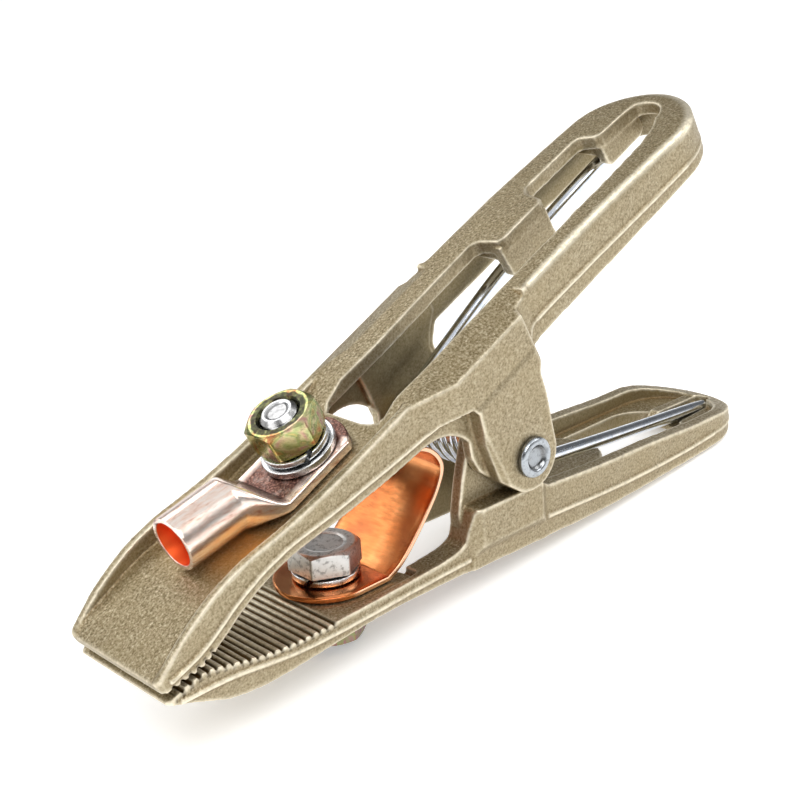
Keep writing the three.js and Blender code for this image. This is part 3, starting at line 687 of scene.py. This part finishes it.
upper_jaw_parting = [
    (-114, 37.8), (-104, 37.4), (-88, 40), (-74, 40), (-58, 37), (-36, 33.4), (-22, 31.4), (-16, 30)]
upper_handle_parting = [(15, 28.6), (17, 31), (20, 31.6), (46, 31), (77, 29.6), (90, 29.2), (111, 28.6)]
upper_crests = [(-117, 36.2), (-105.8, 33.8), (-98, 34.9)]
lower_jaw_parting = [(-117, -22), (-104, -21.8), (-80, -24), (-40, -22.8), (-24, -22.4)]
lower_handle_parting = [(6, -20.6), (40, -22), (70, -21.4), (82, -20.4), (103, -19.6)]
lower_crests = [(-118.4, -20.4), (-110, -17.5), (-103, -18.4), (-93, -20.4), (-80.5, -21.3), (-60, -20.9)]

brass = brass_material()
upper_casting = cast_arm(
    "upper_jaw_arm", UPPER, brass, upper_teeth,
    [(upper_jaw_parting, JAW_SIDE), (upper_handle_parting, 0)],
    between_teeth(-115.6, upper_crests), handle_edge, SLOT_WALL_TOP, beside_lug)
lower_casting = cast_arm(
    "lower_jaw_arm", LOWER, brass, lower_teeth,
    [(lower_jaw_parting, JAW_SIDE), (lower_handle_parting, 0)],
    between_teeth(-117.6, lower_crests), nowhere, EVERYWHERE, nowhere)

# ------------------------------------------------------------------ bolts, nuts, washers and rivet


def hex_radius(flats, sharpness=46):
    """Distance to the side of a hexagon with slightly rounded corners, at an angle."""
    def at(angle):
        total = 0.0
        for k in range(6):
            total += max(0.0, math.cos(angle - k * math.pi / 3) * 2 / flats) ** sharpness
        return total ** (-1 / sharpness)
    return at


hex_side = hex_radius(HEX)
CONE_R = 8.15          # where the chamfer starts
CHAMFER = math.tan(28 * DEG)


def hex_body(height, top_chamfer, bottom_chamfer, inner, around=240):
    """Hexagon with chamfered corners from z -height/2 to height/2. inner is the profile of its middle,
    from the bottom to the top, as (r, z)."""
    top, bottom = height / 2, -height / 2
    disc = [CONE_R * (0.75 + 0.25 * k / 13) for k in range(14)]
    slope = [k / 5 for k in range(1, 6)]
    columns = []
    for i in range(around):
        a = 2 * math.pi * i / around
        edge = hex_side(a)
        drop = max(0.0, edge - CONE_R) * CHAMFER
        top_drop = drop if top_chamfer else 0.0
        bottom_drop = drop if bottom_chamfer else 0.0
        column = [(r, top) for r in disc[:-1]]
        column.append((disc[-1], top - 0.02))
        column += [(CONE_R + (edge - CONE_R) * t, top - top_drop * t - 0.03 * t) for t in slope]
        z0 = top - top_drop - 0.12
        z1 = bottom + bottom_drop + 0.12
        column += [(edge + 0.015 * (k not in (0, 7)), z0 + (z1 - z0) * k / 7) for k in range(8)]
        column += [(CONE_R + (edge - CONE_R) * t, bottom + bottom_drop * t + 0.03 * t)
                   for t in reversed(slope)]
        column += [(r, bottom) for r in reversed(disc)]
        column += inner
        columns.append([(r * math.cos(a), r * math.sin(a), z) for r, z in column])
    rows = len(columns[0])
    verts = [column[k] for k in range(rows) for column in columns]
    return verts, grid_faces(rows, around, close_rows=True)


def thread_radius(outer, depth, pitch=1.5):
    """Cuts a thread of that depth into the radii near outer. A negative depth cuts outwards."""
    def at(r, z, a):
        phase = (z / pitch - a / (2 * math.pi)) % 1.0
        tooth = min(1.0, max(0.0, abs(phase - 0.5) * 2 * 1.35 - 0.12))
        return r - depth * tooth if r > outer - 0.01 else r
    return at


def nut(name, matrix, x, z, mat):
    """A threaded hexagon nut. Its ends are darker near the bore."""
    half = NUT_H / 2
    inner = dense([(6.0, -half), (5.25, -half + 0.75), (5.25, half - 0.75), (6.0, half)], 0.16)
    verts, faces = hex_body(NUT_H, True, True, inner)
    shaped = []
    groove = thread_radius(5.25, -0.42)
    for vx, vy, vz in verts:
        r = math.hypot(vx, vy)
        if 5.2 < r < 5.3:
            a = math.atan2(vy, vx)
            k = groove(5.25, vz, a) / r
            vx, vy = vx * k, vy * k
        shaped.append((vx, vy, vz))
    obj = placed_mesh(name, shaped, faces, standing(matrix, x, z), 30)
    p = local_points(obj, matrix) - np.array((x, 0, z))
    r = np.hypot(p[:, 0], p[:, 1])
    worn = np.array([noise.noise(Vector(v) / 1.8) for v in p])
    put_attribute(obj, "deep", np.clip((7.7 + 0.5 * worn - r) / 0.3, 0, 1))
    return set_material(obj, mat)


def hex_bolt(name, matrix, x, z, length, flip, mat, dish):
    """Head from 0 to HEAD_H, threaded shank down to -length. dish is the hollow of the shank's end."""
    half = HEAD_H / 2
    hollow = [(5.2, -half), (4.6, -half + 1.0), (4.6, half - 1.0), (5.2, half - 0.28)]
    verts, faces = hex_body(HEAD_H, True, False, hollow)
    verts = [(vx, vy, vz + HEAD_H / 2) for vx, vy, vz in verts]
    # the head's top is closed by a shallow dish
    hollow_top = [(0.0, 0.34), (3.2, 0.34), (4.2, 0.30), (5.2, 0.28)]
    hollow_top = rounded([(r, HEAD_H - down) for r, down in hollow_top], 0.3)
    cap = [(6.2, HEAD_H), (5.6, HEAD_H - 0.02), (5.1, HEAD_H - 0.26)] + list(reversed(hollow_top))
    cap += [(0.0, HEAD_H - 1.4), (5.4, HEAD_H - 1.4), (6.2, HEAD_H - 0.5)]
    cap_verts, cap_faces = lathe(cap)
    put_faces(faces, cap_faces, len(verts))
    verts += cap_verts
    end = -length
    shank = [(0.0, 1.2), (BOLT_R, 1.2)] + dense([(BOLT_R, 1.19), (BOLT_R, end + 1.0)], 0.12)
    shank += dense([(BOLT_R - 0.02, end + 0.98), (BOLT_R - 1.0, end)], 0.2)
    tip = [(BOLT_R - 1.2, end), (BOLT_R - 1.7, end + 0.02), (2.6, end + dish), (0.0, end + dish)]
    shank += rounded(tip, 0.4)
    shank_verts, shank_faces = lathe(shank, radius=thread_radius(BOLT_R, 0.55))
    put_faces(faces, shank_faces, len(verts))
    verts += shank_verts
    place = standing(matrix, x, z)
    if flip:
        place = place @ Matrix.Rotation(math.pi, 4, "X")
    obj = placed_mesh(name, verts, faces, place, 30)
    p = local_points(obj, place)
    r = np.hypot(p[:, 0], p[:, 1])
    # deep is painted shade: the end's chamfer ring, the shank's thread and the end's dished centre.
    at_end = np.clip((r - 3.4) / 0.9, 0, 1) * (p[:, 2] < -length + 2.5)
    shaft = ((r < 5.3) & (p[:, 2] < 0) & (p[:, 2] > -length + 1.6)) * 0.5
    centre = (r < 2.9) * (p[:, 2] < 0) * 0.62
    put_attribute(obj, "deep", np.clip(np.maximum(np.maximum(at_end * 0.8, shaft), centre), 0, 1))
    return set_material(obj, mat)


def washer(name, matrix, x, z, mat):
    """A flat ring with rounded edges."""
    h = WASHER_T / 2
    ring = [(BORE_R, -h), (WASHER_R, -h), (WASHER_R, h), (BORE_R, h)]
    profile = rounded(ring + ring[:2], 0.32)[1:-1]
    verts, faces = lathe(dense(profile, 0.6), 144, loop=True)
    obj = placed_mesh(name, verts, faces, standing(matrix, x, z), 40)
    put_attribute(obj, "deep", np.zeros(len(obj.data.vertices)))
    return set_material(obj, mat)


def split_washer(name, matrix, x, z, spin, mat):
    """A ring of square wire with a slanted cut, its ends a little out of line."""
    h, inner, outer = SPRING_WASHER_T / 2 - 0.16, BORE_R, SPRING_WASHER_R
    wire = [(inner, -h), (outer, -h + 0.1), (outer, h - 0.1), (inner, h)]
    section = rounded(wire + wire[:2], 0.3)[1:-1]
    columns, gap = len(section), 5.0
    verts = []
    steps = 140
    for i in range(steps + 1):
        t = i / steps
        for r, v in section:
            a = (gap + (360 - 2 * gap) * t + 7 * v) * DEG
            rise = (t - 0.5) * 0.26
            verts.append((r * math.cos(a), r * math.sin(a), v + rise))
    faces = grid_faces(steps + 1, columns)
    faces.append(tuple(range(columns)))
    faces.append(tuple(range(steps * columns, (steps + 1) * columns)))
    obj = placed_mesh(name, verts, faces, standing(matrix, x, z, spin), 40)
    put_attribute(obj, "deep", np.zeros(len(obj.data.vertices)))
    return set_material(obj, mat)


def rivet(mat):
    """A pin with a ring-shaped formed head at each end."""
    end_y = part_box("pivot_rivet")[1].y / MM
    face = end_y - 1.9
    end = [(0.0, end_y - 1.5), (2.5, end_y - 1.45), (3.2, end_y - 0.9), (3.6, end_y - 0.2), (4.4, end_y),
           (5.3, end_y - 0.35), (5.7, end_y - 1.1), (5.7, face + 0.15), (5.5, face), (4.0, face)]
    end = rounded(end, 0.5, 5)
    profile = [(r, -y) for r, y in end] + [(r, y) for r, y in reversed(end)]
    verts, faces = lathe(dense(profile, 1.2), 96)
    place = LOWER @ Matrix.Translation((PIVOT[0], 0, PIVOT[1])) @ Matrix.Rotation(math.pi / 2, 4, "X")
    obj = placed_mesh("rivet", verts, faces, place, 50)
    p = local_points(obj, LOWER)
    r = np.hypot(p[:, 0] - PIVOT[0], p[:, 2] - PIVOT[1])
    # deep is painted shade: the hollow ring and centre of each head, and the head's side.
    dish = 0.95 * np.exp(-((r - 3.0) / 0.55) ** 2) + 0.3 * (r < 2.6)
    put_attribute(obj, "deep", np.clip(dish + 0.8 * (r > 5.6), 0, 1))
    return set_material(obj, mat)


zinc = zinc_material()
rivet_zinc = zinc_material("rivet_zinc", (0.44, 0.47, 0.50), 0.6)
bolt_zinc = zinc_material("bolt_zinc", (0.68, 0.67, 0.65), 0.9, 0.16)
green_gold = tinted_material("yellow_zinc", [
    (0.32, (0.56, 0.24, 0.10)), (0.42, (0.66, 0.55, 0.22)), (0.50, (0.38, 0.46, 0.18)),
    (0.58, (0.66, 0.60, 0.32)), (0.70, (0.60, 0.32, 0.28))], 5.5)
violet_green = tinted_material("violet_zinc", [
    (0.32, (0.26, 0.10, 0.16)), (0.44, (0.34, 0.22, 0.12)), (0.54, (0.26, 0.30, 0.14)),
    (0.66, (0.36, 0.16, 0.20)), (0.76, (0.44, 0.36, 0.16))], 4.5)

strap_top = PLATE + GAP + STRAP_T
low_washer_z = strap_top + GAP + SPRING_WASHER_T / 2
low_head_z = low_washer_z + SPRING_WASHER_T / 2 + GAP
low_flat_z = SEAT - GAP - WASHER_T / 2
low_nut_z = low_flat_z - WASHER_T / 2 - GAP - NUT_H / 2
palm_top = PAN + GAP + PALM_T
up_flat_z = palm_top + GAP + WASHER_T / 2
up_spring_z = up_flat_z + WASHER_T / 2 + GAP + SPRING_WASHER_T / 2
up_nut_z = up_spring_z + SPRING_WASHER_T / 2 + GAP + NUT_H / 2
up_head_z = TRAY_UNDER - GAP - STRAP_T - GAP
low_bolt_length = low_head_z - low_nut_z + NUT_H / 2 - BOLT_PROUD
up_bolt_length = up_nut_z + NUT_H / 2 - up_head_z + BOLT_PROUD

hardware = {
    "lower_spring_washer": split_washer("lower_split_washer", LOWER, LOWER_BOLT_X, low_washer_z, 200, zinc),
    "lower_bolt": hex_bolt("lower_hex_bolt", LOWER, LOWER_BOLT_X, low_head_z, low_bolt_length, False,
                           bolt_zinc, 0.3),
    "lower_flat_washer": washer("lower_plain_washer", LOWER, LOWER_BOLT_X, low_flat_z, zinc),
    "lower_nut": nut("lower_hex_nut", LOWER, LOWER_BOLT_X, low_nut_z, violet_green),
    "upper_flat_washer": washer("upper_plain_washer", UPPER, UPPER_BOLT_X, up_flat_z, zinc),
    "upper_spring_washer": split_washer("upper_split_washer", UPPER, UPPER_BOLT_X, up_spring_z, 250, zinc),
    "upper_nut": nut("upper_hex_nut", UPPER, UPPER_BOLT_X, up_nut_z, green_gold),
    "upper_bolt": hex_bolt("upper_hex_bolt", UPPER, UPPER_BOLT_X, up_head_z, up_bolt_length, True,
                           zinc, 0.5),
    "pivot_rivet": rivet(rivet_zinc),
}
for node, piece in hardware.items():
    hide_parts(node)

# ------------------------------------------------------------------ torsion spring


def torsion_spring(mat):
    """The coil round the rivet, with a near leg along the lower handle and a far one along the upper."""
    wire_r = 2.1
    cx, cz = -1.0, 8.4
    radius, pitch, start = 13.6, 4.35, -102 * DEG
    turns = (138 + 4 * 360) / 360
    half = turns * pitch / 2
    lower_leg = [
        (98.4, -3.2, -20.4), (94, -3.4, -19.8), (64, -5.6, -16), (30, -8.6, -11.2), (12, -half, -8.6)]
    coil = []
    count = round(turns * 72)
    for i in range(count + 1):
        a = start - i / count * turns * 2 * math.pi
        coil.append((cx + radius * math.cos(a), -half + i / count * 2 * half, cz + radius * math.sin(a)))
    on_upper = [
        (8, half + 0.5, 22.2), (20, half + 1.6, 23.2), (38, 11.6, 25.2), (63, 10.6, 27.4), (92, 10.6, 28)]
    upper_leg = []
    for x, y, z in on_upper:
        lx, lz = to_lower(x, z)
        upper_leg.append((lx, y, lz))
    lead_in = spline(lower_leg + coil[:3], 24)[:-48]
    lead_out = spline(coil[-3:] + upper_leg, 24)[48:]
    path = np.vstack([lead_in, np.array(coil[1:-1]), lead_out])
    verts, faces = sweep(path, wire_r, 28)
    obj = placed_mesh("spring_wire", verts, faces, LOWER, 45)
    set_material(obj, mat)
    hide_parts("torsion_spring")
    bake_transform(obj)
    return obj


torsion_spring(chrome_material())

# ------------------------------------------------------------------ copper strap


def copper_strap(mat):
    """A ribbon from under the lower bolt's head, folded back behind the jaws, to the upper bolt's head."""
    corner = 2.5
    low = PLATE + GAP + STRAP_T / 2
    high = TRAY_UNDER - GAP - STRAP_T / 2
    bend = [(-48, low), (-43.2, low + 2.8), (-35, low + 11.2), (-29, low + 19.2), (-27.2, 4.6), (-31, 9.8),
            to_lower(-32.2, 30.4), to_lower(-37.8, high)]
    full = dense([(-71.4, low), (-48.2, low)], 0.5) + [tuple(v) for v in spline(bend, 24)]
    full = np.array(full + dense([to_lower(-38, high), to_lower(-61.8, high)], 0.5))
    tangent = np.gradient(full, axis=0)
    tangent /= np.linalg.norm(tangent, axis=1)[:, None]
    verts = []
    last = len(full) - 1
    for i, (x, z) in enumerate(full):
        half = STRAP_HALF
        if x < LOWER_BOLT_X and z < 0:
            half = max(0.6, math.sqrt(max(0.0, STRAP_HALF ** 2 - (x - LOWER_BOLT_X) ** 2)))
        from_end = math.dist(full[last], (x, z))
        if from_end < corner and z > 0:
            half = STRAP_HALF - corner + math.sqrt(max(0.0, corner ** 2 - (corner - from_end) ** 2))
        normal = (-tangent[i][1], tangent[i][0])
        for y, v in section_ring(half, STRAP_T / 2, 0.4, 3, 14):
            verts.append((x + normal[0] * v, y, z + normal[1] * v))
    sides = len(verts) // len(full)
    faces = grid_faces(len(full), sides)
    faces.append(tuple(range(sides)))
    faces.append(tuple(range(last * sides, (last + 1) * sides)))
    obj = placed_mesh("copper_strap", verts, faces, LOWER, 40)
    for place in (standing(LOWER, LOWER_BOLT_X, low), standing(UPPER, UPPER_BOLT_X, high)):
        hole, hole_faces = lathe([(0.0, -4), (BORE_R, -4), (BORE_R, 4), (0.0, 4)], 72)
        cut(obj, placed_mesh("hole", hole, hole_faces, place, 30))
    shade(obj, 40)
    p = local_points(obj, LOWER)
    put_attribute(obj, "rim", np.clip((np.abs(p[:, 1]) - (STRAP_HALF - 0.28)) / 0.2, 0, 1))
    set_material(obj, mat)
    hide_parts("copper_shunt")
    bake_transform(obj)
    return obj


copper_strap(strap_material())

# ------------------------------------------------------------------ cable lug


def cable_lug(mat):
    """A round barrel bent up from a flat palm, as sections along its length."""
    barrel_r, bore_r, barrel_length, bore_depth = 7.3, 5.95, 17.2, 15.0
    mouth_x, mouth_z, bend = -89.2, 50.0, 11.5
    palm_half = 10.8
    palm_z = PAN + GAP + PALM_T / 2
    end_x, end_r = UPPER_BOLT_X - 1.6, 14.0

    def on_axis(along, r):
        """A ring of the barrel: centre, tilt, half width, half height and corner radius."""
        a = bend * DEG
        return (mouth_x + along * math.cos(a), mouth_z - along * math.sin(a), bend, r, r, r)

    stations = [on_axis(0, barrel_r - 0.35), on_axis(0.08, barrel_r - 0.1)]
    stations += [on_axis(d, barrel_r) for d in np.linspace(0.4, barrel_length, 30)]
    neck = [on_axis(barrel_length, barrel_r), (-70.9, 45.9, 11, 8.0, 6.5, 5.6),
            (-68.8, 44.6, 11, 9.2, 4.8, 3.6), (-66.5, 42.8, 9, 10.2, 3.1, 2.0),
            (-64.4, 41.2, 5, 10.7, 1.95, 1.2),
            (-62.6, palm_z, 0, palm_half, PALM_T / 2, 0.75)]
    stations += [tuple(v) for v in spline(neck, 10)[1:]]
    stations += [(x, palm_z, 0, palm_half, PALM_T / 2, 0.75) for x in np.linspace(-62.2, -41.2, 30)]
    for x in np.linspace(-41.0, end_x + end_r - 0.05, 22):
        half = min(palm_half, math.sqrt(max(0.0, end_r ** 2 - (x - end_x) ** 2)))
        stations.append((x, palm_z, 0, max(half, 1.4), PALM_T / 2, 0.75))
    verts = []
    for x, z, tilt, w, h, corner in stations:
        sn, cs = math.sin(tilt * DEG), math.cos(tilt * DEG)
        verts += [(x + v * sn, y, z + v * cs) for y, v in section_ring(w, h, corner, 20, 8)]
    sides = len(verts) // len(stations)
    faces = grid_faces(len(stations), sides)
    faces.append(tuple(range(sides)))
    faces.append(tuple(range(len(verts) - sides, len(verts))))
    obj = placed_mesh("crimp_lug", verts, faces, UPPER, 0)
    bore = [(0.0, -20), (bore_r + 0.6, -20), (bore_r + 0.45, -0.3), (bore_r, 0.25), (bore_r, bore_depth),
            (bore_r - 1.5, bore_depth + 0.4), (0.0, bore_depth + 0.5)]
    barrel = Matrix.Translation((mouth_x, 0, mouth_z)) @ turn_y(bend)
    hole, hole_faces = lathe(bore, 120)
    cut(obj, placed_mesh("hole", hole, hole_faces, UPPER @ barrel @ turn_y(90), 0))
    hole, hole_faces = lathe([(0.0, -5), (BORE_R, -5), (BORE_R, 5), (0.0, 5)], 96)
    cut(obj, placed_mesh("hole", hole, hole_faces, standing(UPPER, UPPER_BOLT_X, palm_z), 0))
    shade(obj, 42)
    p = local_points(obj, UPPER)
    q = local_points(obj, UPPER @ barrel)
    r = np.hypot(q[:, 1], q[:, 2])
    mouth = (r < bore_r + 0.35) & (q[:, 0] < bore_depth + 1) & (q[:, 0] > 0.12)
    put_attribute(obj, "mouth", mouth.astype(float))
    # tarnished: the palm's face, away from its edges, and a band along the barrel's far upper side
    palm = np.clip((p[:, 0] + 65.5) / 2.5, 0, 1) * np.clip((palm_half - 1.3 - np.abs(p[:, 1])) / 0.8, 0, 1)
    side = np.degrees(np.arctan2(q[:, 1], q[:, 2]))
    band = np.exp(-((side - 38) / 15) ** 2) * np.clip((-p[:, 0] - 70.5) / 1.5, 0, 1)
    put_attribute(obj, "tarnish", np.clip(palm + band, 0, 1))
    set_material(obj, mat)
    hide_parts("cable_lug")
    return obj


lug = cable_lug(lug_material())

for node, piece in hardware.items():
    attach(piece, "upper_arm" if node.startswith("upper") else "lower_arm")
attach(lower_casting, "lower_arm")
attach(upper_casting, "upper_arm")
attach(lug, "upper_arm")

# ------------------------------------------------------------------ floor, light and camera


def stage_floor():
    bpy.ops.mesh.primitive_plane_add(size=6, location=(0, 0, -0.0003))
    floor = bpy.context.object
    floor.name = "floor"
    s = Shader("pale_floor")
    mottle = s.noise(60.0, 2.0, 0.5)
    s.out(Base_Color=s.ramp(mottle, [(0.3, 0.955), (0.7, 0.975)]), Roughness=0.9)
    s.out(Emission_Color=s.ramp(mottle, [(0.3, 0.98), (0.7, 1.0)]), Emission_Strength=0.32)
    set_material(floor, s.mat)


def softbox(name, at, aim, width, height, power):
    data = bpy.data.lights.new(name, "AREA")
    data.shape = "RECTANGLE"
    data.size = width
    data.size_y = height
    data.energy = power
    lamp = bpy.data.objects.new(name, data)
    lamp.location = at
    lamp.rotation_euler = (Vector(aim) - Vector(at)).to_track_quat("-Z", "Y").to_euler()
    bpy.context.scene.collection.objects.link(lamp)


def world_light():
    """White below and overhead, with a dark band between for the metal to reflect."""
    world = bpy.data.worlds.new("studio")
    bpy.context.scene.world = world
    world.use_nodes = True
    tree = world.node_tree
    background = tree.nodes["Background"]
    coords = tree.nodes.new("ShaderNodeTexCoord")
    split = tree.nodes.new("ShaderNodeSeparateXYZ")
    ramp = tree.nodes.new("ShaderNodeValToRGB")
    span = tree.nodes.new("ShaderNodeMapRange")
    tree.links.new(coords.outputs["Generated"], split.inputs["Vector"])
    tree.links.new(split.outputs["Z"], span.inputs["Value"])
    span.inputs["From Min"].default_value = -1.0
    tree.links.new(span.outputs["Result"], ramp.inputs["Fac"])
    stops = [(0.0, 0.9), (0.42, 1.35), (0.54, 1.5), (0.60, 0.40),
             (0.70, 0.12), (0.80, 0.30), (0.88, 0.85), (1.0, 1.0)]
    while len(ramp.color_ramp.elements) < len(stops):
        ramp.color_ramp.elements.new(0.5)
    for element, (at, v) in zip(ramp.color_ramp.elements, stops):
        element.position = at
        element.color = (v, v, v, 1)
    tree.links.new(ramp.outputs["Color"], background.inputs["Color"])
    background.inputs["Strength"].default_value = 0.75


def photo_camera():
    """The photograph's place, heading, dip and roll, given in the lower arm's frame."""
    heading, dip, roll = 48.59, 20.64, -4.04
    turn = Matrix.Rotation((heading - 90) * DEG, 3, "Z") @ Matrix.Rotation((90 - dip) * DEG, 3, "X")
    rotation = LOWER.to_3x3().normalized() @ turn @ Matrix.Rotation(roll * DEG, 3, "Z")
    data = bpy.data.cameras.new("camera")
    data.lens = 67.5
    data.sensor_width = 36
    data.clip_start = 0.01
    data.clip_end = 50
    camera = bpy.data.objects.new("camera", data)
    camera.matrix_world = Matrix.Translation(LOWER @ Vector((-271.3, -276.0, 158.2))) @ rotation.to_4x4()
    bpy.context.scene.collection.objects.link(camera)
    bpy.context.scene.camera = camera


stage_floor()
softbox("key", (-0.35, -0.75, 1.05), (0, 0, 0.04), 0.9, 0.7, 7.5)
softbox("left", (-1.1, 0.25, 0.55), (0, 0, 0.05), 0.8, 0.8, 5)
softbox("right", (0.78, -0.62, 0.82), (0.02, 0, 0.05), 0.8, 0.7, 5)
softbox("rim", (-0.1, 1.05, 0.95), (0, 0, 0.05), 1.5, 0.5, 5)
world_light()
photo_camera()
bpy.context.scene.view_settings.view_transform = "Standard"
bpy.context.scene.view_settings.look = "None"
